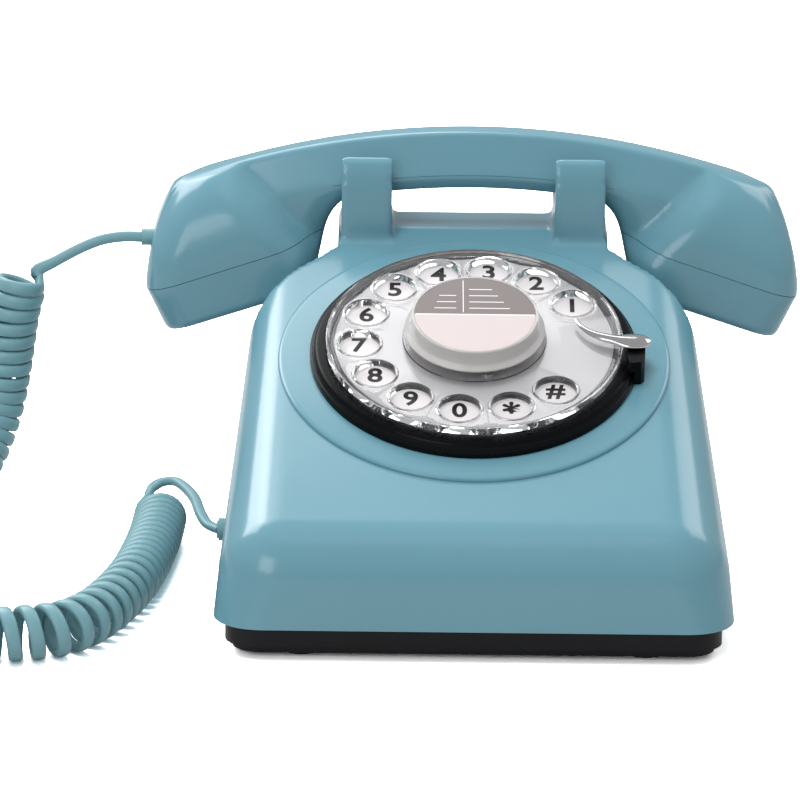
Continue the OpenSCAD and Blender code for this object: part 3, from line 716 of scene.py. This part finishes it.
def handset_section(x):
    """Points round the handset at one x, from the middle of the top down the front and up the back."""
    top = interpolate(TOP_LINE, abs(x))
    bottom = interpolate(BOTTOM_LINE, abs(x))
    tall = top - bottom
    steps = 40
    front = []
    for i in range(steps + 1):
        t = i / steps
        share = t - 0.5 * math.sin(2 * math.pi * t) / (2 * math.pi)
        z = top - tall * share
        edge = min(0.0012, 0.3 * tall)
        gone = top - z
        inset = edge - math.sqrt(max(0.0, edge ** 2 - (edge - gone) ** 2)) if gone < edge else 0.0
        front.append((half_depth(x, z) - inset, z))
    flat = 4
    top_run = [(front[0][0] * i / flat, top) for i in range(flat)]
    low_run = [(front[-1][0] * (flat - 1 - i) / flat, bottom) for i in range(flat)]
    half = top_run + front + low_run
    return [(-y, z) for y, z in half] + [(y, z) for y, z in reversed(half[1:-1])]


TOP_LINE = top_line()
UNDER_LINE = under_line()
CAP_LINE = cap_line()
BOTTOM_LINE = UNDER_LINE + CAP_LINE[1:]
CREST_LINE = [(x * 0.001, arc_z(ARC_R, x * 0.001)) for x in range(0, 120, 6)]


def handset_blank(name):
    """The whole handset in one skin, with its sections closest together where its shape turns most."""
    marks = [0.0]
    x = 0.0
    while x < HANDSET_HALF - 0.0004:
        if x < 0.040:
            x += 0.004
        elif x < 0.068:
            x += 0.0007
        elif x < 0.100:
            x += 0.0011
        else:
            x += 0.0005
        marks.append(min(x, HANDSET_HALF - 0.0002))
    stations = sorted({-m for m in marks} | set(marks))
    rings = [[(x, HANDSET_Y + y, z) for y, z in handset_section(x)] for x in stations]
    return relax(skin_through(name, rings), 5)


def pod_matrix(side):
    mirror = Matrix.Scale(-1, 4, (1, 0, 0)) if side < 0 else Matrix.Identity(4)
    place = Matrix.Translation((POD_MIDDLE.x, HANDSET_Y, POD_MIDDLE.y))
    return mirror @ place @ Matrix.Rotation(CAP_SLOPE, 4, "Y")


def cap_zone(side, gap):
    """A solid that holds everything below the line of one cap, a hair lower than that line."""
    lift = Vector((0, -gap))
    a = CAP_INNER - CAP_DIRECTION * 0.020 + lift
    b = CAP_OUTER + CAP_DIRECTION * 0.020 + lift
    outline = [(side * a.x, a.y), (side * b.x, b.y), (side * 0.14, 0.04), (side * 0.04, 0.04)]
    return prism("cap_zone", outline, 0.03, 0.13, from_front)


def front_zone(gap):
    """A solid that holds the lower cover of the handle."""
    reach = COVER_HALF
    steps = 16
    outline = []
    for i in range(steps + 1):
        x = -reach + 2 * reach * i / steps
        outline.append((x, arc_z(SPLIT_R, x) - gap))
    outline += [(reach, 0.085), (-reach, 0.085)]
    return prism("front_zone", outline, 0.03, 0.13, from_front)


def handset():
    """Back shell, lower cover and two caps, all cut from one skin so that their faces run on."""
    blank = handset_blank("handset_blank")
    line = SEAM_LINE
    core = copy_of(blank, "handset_core")
    shrink = core.modifiers.new("shrink", "DISPLACE")
    shrink.strength = -0.0008
    shrink.mid_level = 0.0
    bake(core)
    for side, name in ((1, "ear_cap"), (-1, "mouth_cap")):
        cap = copy_of(blank, name + "_skin")
        combine(cap, cap_zone(side, line), "INTERSECT")
        spigot = copy_of(core, "spigot")
        combine(spigot, cap_zone(side, -0.9 * line), "INTERSECT")
        combine(cap, spigot, "UNION")
        combine(cap, lathe("hollow", bore(19.5, -11.9, 4), 64, pod_matrix(side)))
        for k in range(7):
            r = SOUND_RING_R if k else 0
            a = math.radians(60 * k)
            spot = pod_matrix(side) @ Matrix.Translation((r * MM * math.cos(a), r * MM * math.sin(a), 0))
            combine(cap, lathe("sound_hole", bore(SOUND_HOLE_R, -30, 0), 24, spot))
        shade(recalc_normals(cap), 30)
        piece(cap, "handset", BLUE_CAP_PLASTIC, [name])

    cover = copy_of(blank, "handset_cover_skin")
    combine(cover, front_zone(line), "INTERSECT")
    shade(recalc_normals(cover), 30)
    piece(cover, "handset", BLUE_CAP_PLASTIC, ["handset_front"])

    bpy.data.objects.remove(core)
    shell = blank
    shell.name = "handset_shell_skin"
    for side in (-1, 1):
        combine(shell, cap_zone(side, -line))
    combine(shell, front_zone(0.0))
    for side in (-1, 1):
        combine(shell, lathe("hollow", [(0, -4), (18, -4), (18, 13), (11, 13), (11, 22), (0, 22)], 64,
                             pod_matrix(side)))
    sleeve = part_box("cord_grommet_handset")
    middle = (sleeve[0] + sleeve[1]) / 2
    place = Matrix.Translation((-HANDSET_HALF + 0.002, middle.y, middle.z))
    combine(shell, lathe("sleeve_hole", bore(HANDSET_SLEEVE_R, -9, 9), 48, place @ SIDEWAYS))
    shade(recalc_normals(shell), 30)
    piece(shell, "handset", BLUE_PLASTIC, ["handset_back"])


# ---------------------------------------------------------------- dial

WHEEL_BOTTOM = 7.2
WHEEL_TOP = 9.6
WHEEL_R = 51.5
HOLE_R = 7.0
HOLE_CIRCLE_R = 40
HOLE_STEP = 360 / 14
FIRST_HOLE = 31
PLATE_TOP = 6.8
PLATE_R = 48.6
CAP_BOTTOM = WHEEL_TOP + 3.2
CAP_TOP = WHEEL_TOP + 10
DIGITS = "1234567890*#"


def hole_centre(i, h):
    """Middle of one finger hole, at a height in mm over the slope."""
    a = math.radians(FIRST_HOLE + i * HOLE_STEP)
    return Vector((HOLE_CIRCLE_R * MM * math.cos(a), HOLE_CIRCLE_R * MM * math.sin(a), h * MM))


def bezel():
    profile = [(46.5, -4), (49.6, -4), (49.6, 1.6), (57.0, 1.6), (57.0, 3.4), (56.8, 3.9), (56.3, 4.1),
               (56.1, 4.2), (56.0, 4.5), (55.6, 5.6), (55.0, 6.3), (54.2, 6.6), (49.8, 6.6), (49.3, 6.4),
               (49.1, 5.6), (46.5, 5.6)]
    ring = shade(lathe("bezel_ring", profile, 192), 40)
    piece(ring, "base", BEZEL_PLASTIC, ["dial_bezel"])


def finger_wheel():
    top = WHEEL_TOP
    r = WHEEL_R
    profile = [(9, WHEEL_BOTTOM), (r - 0.4, WHEEL_BOTTOM), (r, WHEEL_BOTTOM + 0.4), (r, top + 0.1),
               (r - 0.1, top + 0.4), (r - 0.4, top + 0.55), (r - 0.8, top + 0.5), (r - 1.2, top + 0.2),
               (r - 1.7, top),
               (25.0, top), (24.7, top + 0.3), (24.0, top + 0.45), (23.4, top + 0.25), (23.2, top), (9, top)]
    wheel = lathe("clear_finger_wheel", profile, 192)
    for i in range(12):
        spot = ON_DIAL @ Matrix.Translation(hole_centre(i, 0))
        collar = [(6, top - 1), (8.2, top - 1), (8.2, top + 0.05), (8.0, top + 0.3), (7.7, top + 0.4),
                  (6, top + 0.4)]
        combine(wheel, lathe("collar", collar, 64, spot), "UNION")
    for i in range(12):
        spot = ON_DIAL @ Matrix.Translation(hole_centre(i, 0))
        hole = [(0, 2), (HOLE_R + 0.3, 2), (HOLE_R + 0.3, WHEEL_BOTTOM + 0.2), (HOLE_R, WHEEL_BOTTOM + 0.5),
                (HOLE_R, top - 0.3), (HOLE_R + 0.2, top + 0.15), (HOLE_R + 0.6, top + 0.42),
                (HOLE_R + 0.7, 14), (0, 14)]
        combine(wheel, lathe("finger_hole", hole, 64, spot))
    screw_hole = ON_DIAL @ Matrix.Translation((4.6 * MM, -19.3 * MM, 0))
    combine(wheel, lathe("screw_hole", bore(1.5, 2, 14), 32, screw_hole))
    shade(recalc_normals(wheel), 28)
    piece(wheel, "dial_wheel", CLEAR_ACRYLIC, ["finger_wheel"])


def number_plate():
    """A thin painted disc with a rolled edge, seen through the clear wheel."""
    top = PLATE_TOP
    edge = PLATE_R
    profile = [(12, top - 1.2), (edge - 0.3, top - 1.2), (edge, top - 0.9), (edge, top - 0.3),
               (edge - 0.3, top), (12.3, top), (12, top - 0.3)]
    piece(shade(lathe("number_plate_skin", profile, 160), 50), "base", PLATE_PAINT, ["number_plate"])


def digits():
    """Black figures printed on the plate, set a little high so that they read from in front."""
    bm = bmesh.new()
    for i, character in enumerate(DIGITS):
        curve = bpy.data.curves.new("figure", "FONT")
        curve.body = character
        curve.size = 10.6 * MM if character != "*" else 14 * MM
        curve.extrude = 0.03 * MM
        curve.offset = 0.28 * MM
        curve.resolution_u = 4
        text = in_scene("figure", curve)
        bpy.context.view_layer.update()
        mesh = bpy.data.meshes.new_from_object(text.evaluated_get(bpy.context.evaluated_depsgraph_get()))
        bpy.data.objects.remove(text)
        corners = [v.co for v in mesh.vertices]
        middle = Vector([(min(c[k] for c in corners) + max(c[k] for c in corners)) / 2 for k in range(3)])
        spot = hole_centre(i, PLATE_TOP + 0.03) + Vector((0, 2.6 * MM, 0))
        mesh.transform(ON_DIAL @ Matrix.Translation(spot - middle))
        bm.from_mesh(mesh)
    joined = bpy.data.meshes.new("dial_figures")
    bm.to_mesh(joined)
    bm.free()
    obj = in_scene("dial_figures", joined)
    piece(obj, "base", DIGIT_INK)


def hands_free_button():
    lo, hi = CAP_BOTTOM, CAP_TOP
    profile = [(0, lo + 1.2), (20, lo + 1.2), (20.4, lo), (23.6, lo), (24.2, lo + 0.4), (24.3, lo + 1.0),
               (24.0, lo + 1.5), (23.0, lo + 2.0), (22.5, lo + 2.8), (22.2, hi - 1.0), (22.0, hi + 0.2),
               (21.7, hi + 0.5), (21.2, hi + 0.5), (21.0, hi + 0.3), (20.95, hi), (0, hi)]
    cap = shade(lathe("button_cap_skin", profile, 160), 35)
    piece(cap, "hands_free_button", MILKY_ACRYLIC, ["button_cap"])

    r = 20.85 * MM
    low = (CAP_TOP + 0.02) * MM
    high = (CAP_TOP + 0.3) * MM
    gap = 0.25 * MM

    def on_dial(a, b, depth):
        return ON_DIAL @ Vector((a, b, depth))

    def half_disc(name, start, end):
        return prism(name, arc(0, 0, r, start, end, 64), low, high, on_dial)

    cut = math.degrees(math.asin(gap / r))
    upper = half_disc("card_upper_half", cut, 180 - cut)
    piece(upper, "hands_free_button", CARD_TAUPE, ["label_card"])
    lower = half_disc("card_lower_half", 180 + cut, 360 - cut)
    piece(lower, "hands_free_button", CARD_PALE)

    top = high + 0.02 * MM
    bars = [(-20.6, 20.6, -0.25, 0.25), (-4.2, -3.9, 1.2, 19.5)]
    bars += [(-14 + 0.8 * k, -6.5, 3.4 + 3.6 * k, 3.8 + 3.6 * k) for k in range(3)]
    bars += [(-2, 12 - 2.0 * k, 3.4 + 3.6 * k, 3.8 + 3.6 * k) for k in range(4)]
    verts = []
    faces = []
    for x0, x1, y0, y1 in bars:
        start = len(verts)
        corners = [(x0, y0), (x1, y0), (x1, y1), (x0, y1)]
        verts += [ON_DIAL @ Vector((x * MM, y * MM, low)) for x, y in corners]
        verts += [ON_DIAL @ Vector((x * MM, y * MM, top)) for x, y in corners]
        faces += [tuple(start + i for i in f) for f in
                  ((3, 2, 1, 0), (4, 5, 6, 7), (0, 1, 5, 4), (1, 2, 6, 5), (2, 3, 7, 6), (3, 0, 4, 7))]
    rules = mesh_object("card_rules", verts, faces)
    piece(rules, "hands_free_button", CARD_WHITE)


def finger_stop():
    """A chrome finger: a thin curved tip that widens into a rounded foot on the post."""
    spine = [(34.8, 8.6), (36.2, 5.0), (38.8, 1.4), (42.4, -1.4), (46.6, -3.2), (50.6, -4.2), (54.4, -4.5),
             (57.6, -4.3), (60.8, -4.0)]
    route = smooth_route([Vector((x, y, 0)) for x, y in spine], 0.5)
    total = len(route) - 1
    points = []
    rings = []
    for i, p in enumerate(route):
        t = i / total
        wide = 0.6 + 1.4 * smoothstep(t / 0.6) + 2.0 * smoothstep((t - 0.55) / 0.25)
        thick = 0.5 + 0.9 * smoothstep(t / 0.7)
        end = math.sqrt(max(0.0, 1 - ((t - 0.84) / 0.16) ** 2)) if t > 0.84 else 1.0
        tip = math.sqrt(min(1.0, t / 0.03 + 0.05))
        wide *= max(0.12, end) * tip
        thick *= max(0.3, end) * tip
        lift = 12.3 + 0.2 * math.sin(t * math.pi)
        points.append(Vector((p.x * MM, p.y * MM, lift * MM)))
        rings.append([(wide * MM * math.cos(a), thick * MM * math.sin(a))
                      for a in (2 * math.pi * k / 20 for k in range(20))])
    hook = sweep("finger_stop_hook", points, lambda i: rings[i], [Vector((0, 0, 1))] * len(points))
    pin = lathe("pin", bore(1.4, 8.4, 12), 32, Matrix.Translation((56 * MM, -4 * MM, 0)))
    combine(hook, pin, "UNION")
    hook.data.transform(ON_DIAL)
    shade(recalc_normals(hook), 50)
    piece(hook, "base", CHROME, ["finger_stop"])


# ---------------------------------------------------------------- cord

COIL_D = 0.019
CORD_W = 0.005
CORD_T = 0.0030
LEAD_W = 0.0040
LEAD_T = 0.0030
CLOSED_PITCH = 5.3
OPENED_PITCH = 2.2
COIL_ROUTE = [
    (-162, 79, 82), (-165, 79, 70), (-168, 79, 50), (-171.5, 77, 33), (-177, 69, 19), (-184, 55, 11.5),
    (-192, 36, 10), (-199, 10, 10), (-203, -18, 10), (-204, -44, 10), (-201, -68, 10),
    (-194, -88, 10), (-182, -100, 10), (-168, -104, 10), (-152, -102, 10), (-138, -96, 10),
    (-128, -82, 10), (-121, -62, 10), (-116, -40, 10), (-113, -18, 10), (-111, 4, 10), (-110, 28, 10),
]
HANDSET_LEAD_ROUTE = [
    (-119.3, 79, 98.5), (-126, 79, 98.5), (-134, 79, 97), (-142, 79, 93.5), (-150, 79, 89), (-157, 79, 85),
    (-161, 79, 82.6),
]
BASE_LEAD_ROUTE = [
    (-114, 28.6, 15), (-114, 34, 17), (-111, 40, 18), (-106, 41, 18.5), (-102, 36, 18), (-98, 26, 17),
    (-95.5, 14, 15.5), (-92.7, 5, 14.3), (-89.5, 0.6, 14),
]

# the ends of the cord, a little way inside the soft sleeves
IN_HANDSET_SLEEVE = (-118, 79, 98.5)
IN_CASE_SLEEVE = (-88.2, -0.6, 14)


def metres(points):
    return [Vector(p) * MM for p in points]


def coil_pitch(share):
    """Distance between turns: tight for most of the cord, pulled open where it turns in front."""
    opened = smoothstep((share - 0.50) / 0.08) * (1 - smoothstep((share - 0.80) / 0.06))
    return (CLOSED_PITCH + OPENED_PITCH * opened) * MM


def coil_path(steps_per_turn=26):
    """Centre line of the wound cord, with the direction that points away from the middle of the coil."""
    axis = smooth_route(metres(COIL_ROUTE), 0.0005)
    spacing = sum((b - a).length for a, b in zip(axis, axis[1:])) / (len(axis) - 1)
    r = (COIL_D - CORD_T) / 2
    ahead = (axis[1] - axis[0]).normalized()
    side = ahead.cross(Vector((0, 1, 0))).normalized()
    frames = []
    for i, p in enumerate(axis):
        new_ahead = (axis[min(i + 1, len(axis) - 1)] - axis[max(i - 1, 0)]).normalized()
        side = (side - new_ahead * side.dot(new_ahead)).normalized()
        frames.append((p, side, new_ahead.cross(side)))
    points = []
    outs = []
    along = 0.0
    turn = 0.0
    total = spacing * (len(axis) - 1)
    while along < total:
        at = along / spacing
        i = min(int(at), len(axis) - 2)
        p = frames[i][0].lerp(frames[i + 1][0], at - i)
        out = frames[i][1] * math.cos(turn) + frames[i][2] * math.sin(turn)
        points.append(p + out * r)
        outs.append(out)
        turn += 2 * math.pi / steps_per_turn
        along += coil_pitch(along / total) / steps_per_turn
    return points, outs


def flat_section(width, thick, steps=12):
    """Rounded flat section of the cord, wide along the coil and thin across it."""
    ring = []
    for k in range(steps):
        a = 2 * math.pi * k / steps
        c = math.cos(a)
        s = math.sin(a)
        wide = math.copysign(abs(c) ** 0.75, c)
        high = math.copysign(abs(s) ** 0.8, s)
        ring.append((wide * width / 2, high * thick / 2))
    return ring


def cord():
    """One cord: lead out of the handset, the wound part, and lead into the case."""
    turns, outs = coil_path()
    upper_route = metres([IN_HANDSET_SLEEVE] + HANDSET_LEAD_ROUTE[1:-1])
    upper = smooth_route(upper_route + [turns[0] + Vector((0, 0, 0.0015))], 0.0012)
    lower_route = metres(BASE_LEAD_ROUTE[:-1] + [IN_CASE_SLEEVE])
    lower = smooth_route([turns[-1] * 0.5 + lower_route[0] * 0.5] + lower_route[1:], 0.0012)
    path = upper[:-2] + turns[2:-2] + lower[2:]
    flat_up = Vector((0, 1, 0))
    ups = [flat_up.lerp(outs[0], smoothstep((i / len(upper) - 0.8) / 0.2)) for i in range(len(upper) - 2)]
    ups += outs[2:-2]
    last = outs[-3]
    ups += [last.lerp(Vector((0, 0, 1)), smoothstep(i / 8)) for i in range(len(lower) - 2)]
    wound = flat_section(CORD_W, CORD_T)
    straight = flat_section(LEAD_W, LEAD_T)
    first = len(upper) - 2
    end = first + len(turns) - 4

    def section(i):
        inside = min(smoothstep((i - first + 12) / 12), smoothstep((end + 12 - i) / 12))
        return [(a * (1 - inside) + c * inside, b * (1 - inside) + d * inside)
                for (a, b), (c, d) in zip(straight, wound)]

    obj = shade(sweep("curly_cord", path, section, ups), 60)
    dress(obj, CORD_JACKET)
    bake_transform(obj)
    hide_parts("cord_coil", "cord_lead_base", "cord_lead_handset")


# ---------------------------------------------------------------- CAD nodes that stay

KEPT = {
    "base_pan": (BLACK_PLASTIC, 0.0007), "rubber_feet": (RUBBER, 0.0005), "case_screws": (STEEL, 0.0002),
    "ballast_plate": (STEEL, 0.0003),
    "finger_stop_post": (BEZEL_PLASTIC, 0.0004), "dial_frame": (ALUMINIUM, 0.0002),
    "dial_rear_plate": (ALUMINIUM, 0.0002), "dial_bearing_bush": (BRASS, 0.0001),
    "dial_return_spring": (STEEL, 0.0), "dial_frame_screws": (STEEL, 0.0001),
    "button_guide_post": (ALUMINIUM, 0.0001), "button_switch": (BOARD_GREEN, 0.0001),
    "governor_housing": (ALUMINIUM, 0.0002), "dial_contact_springs": (BRASS, 0.0),
    "main_circuit_board": (BOARD_GREEN, 0.0001), "circuit_components": (DARK_PARTS, 0.0003),
    "ringer_speaker": (DARK_PARTS, 0.0004), "line_jack": (DARK_PARTS, 0.0002),
    "hook_switch_bracket": (STEEL, 0.0002), "hook_return_spring": (STEEL, 0.0),
    "hook_contact_springs": (BRASS, 0.0), "cord_grommet_base": (CORD_JACKET, 0.0004),
    "cord_grommet_handset": (CORD_JACKET, 0.0004), "wheel_hub": (ALUMINIUM, 0.0002),
    "main_gear": (BRASS, 0.0), "pulse_cam": (NATURAL_PLASTIC, 0.0001), "wheel_clamp_screw": (CHROME, 0.00015),
    "governor_pinion": (BRASS, 0.0), "governor_shaft": (STEEL, 0.0001), "governor_weights": (BRASS, 0.0001),
    "button_stem": (NATURAL_PLASTIC, 0.0001), "hook_plungers": (DARK_PARTS, 0.0003),
    "hook_bar": (DARK_PARTS, 0.0002), "receiver_capsule": (DARK_PARTS, 0.0003),
    "microphone_capsule": (DARK_PARTS, 0.0003), "handset_ballast": (STEEL, 0.0003),
    "handset_screws": (STEEL, 0.0001),
}


def dress_kept_nodes():
    for name, (finish, rounding) in KEPT.items():
        node = nodes[name]
        dress(node, finish)
        if rounding:
            bevel(node, rounding)


# ---------------------------------------------------------------- studio

TABLE_BURN = 3.0
FOCAL_LENGTH = 258.21  # in millimetres, as the camera takes it


def area_light(name, place, aim, size, power):
    """A square softbox that faces a point."""
    light = bpy.data.lights.new(name, "AREA")
    light.shape = "RECTANGLE"
    light.size = size
    light.size_y = size
    light.energy = power
    obj = in_scene(name, light)
    obj.location = place
    obj.rotation_euler = (Vector(aim) - Vector(place)).to_track_quat("-Z", "Y").to_euler()
    return obj


def table_material():
    """White table top, bright enough towards the lens to burn out to plain white away from the object."""
    made = material("white_table", (0.62, 0.62, 0.62), ripple=8, variation=0.01, low=0.7, high=0.8,
                    bump=0.0, dust=0.0, specular=0.1)
    tree = made.node_tree
    shader = tree.nodes["Principled BSDF"]
    calm = shader.inputs["Base Color"].links[0].from_socket
    burn = tree.nodes.new("ShaderNodeMix")
    burn.data_type = "RGBA"
    burn.inputs["B"].default_value = (TABLE_BURN, TABLE_BURN, TABLE_BURN, 1)
    seen = tree.nodes.new("ShaderNodeLightPath")
    tree.links.new(seen.outputs["Is Camera Ray"], burn.inputs["Factor"])
    tree.links.new(calm, burn.inputs["A"])
    tree.links.new(burn.outputs["Result"], shader.inputs["Base Color"])
    return made


def studio():
    floor = mesh_object("studio_floor", [(-4, -4, 0), (4, -4, 0), (4, 4, 0), (-4, 4, 0)], [(0, 1, 2, 3)])
    dress(floor, table_material())
    world = bpy.data.worlds.new("studio_air")
    bpy.context.scene.world = world
    world.use_nodes = True
    sky = world.node_tree.nodes["Background"]
    sky.inputs["Color"].default_value = (1, 1, 1, 1)
    sky.inputs["Strength"].default_value = 0.45
    middle = (0, 0, 0.06)
    area_light("back_softbox", (-0.45, 1.25, 1.40), middle, 1.1, 11)
    key = area_light("top_softbox", (-0.15, -0.35, 1.5), middle, 0.7, 14)
    key.visible_glossy = False
    area_light("left_softbox", (-0.95, 0.75, 1.1), middle, 0.7, 9)
    area_light("right_softbox", (0.95, 0.75, 1.1), middle, 0.7, 4)
    area_light("front_left_softbox", (-0.9, -1.6, 0.78), middle, 0.9, 7)
    bpy.context.scene.view_settings.view_transform = "Standard"


def camera():
    azimuth = math.radians(-0.17)
    elevation = math.radians(16.8)
    roll = math.radians(0.7)
    reach = 2.0
    target = Vector((-0.0255, 0, 0.0621))
    away = Vector((math.sin(azimuth) * math.cos(elevation), -math.cos(azimuth) * math.cos(elevation),
                   math.sin(elevation)))
    lens = bpy.data.cameras.new("studio_camera")
    lens.sensor_width = 36
    lens.lens = FOCAL_LENGTH
    lens.clip_start = 0.05
    obj = in_scene("studio_camera", lens)
    turn = (-away).to_track_quat("-Z", "Y").to_matrix().to_4x4() @ Matrix.Rotation(roll, 4, "Z")
    obj.matrix_world = Matrix.Translation(target + away * reach) @ turn
    bpy.context.scene.camera = obj


camera()
cord()
case()
handset()
bezel()
finger_wheel()
number_plate()
digits()
hands_free_button()
finger_stop()
dress_kept_nodes()
studio()

bpy.context.view_layer.update()
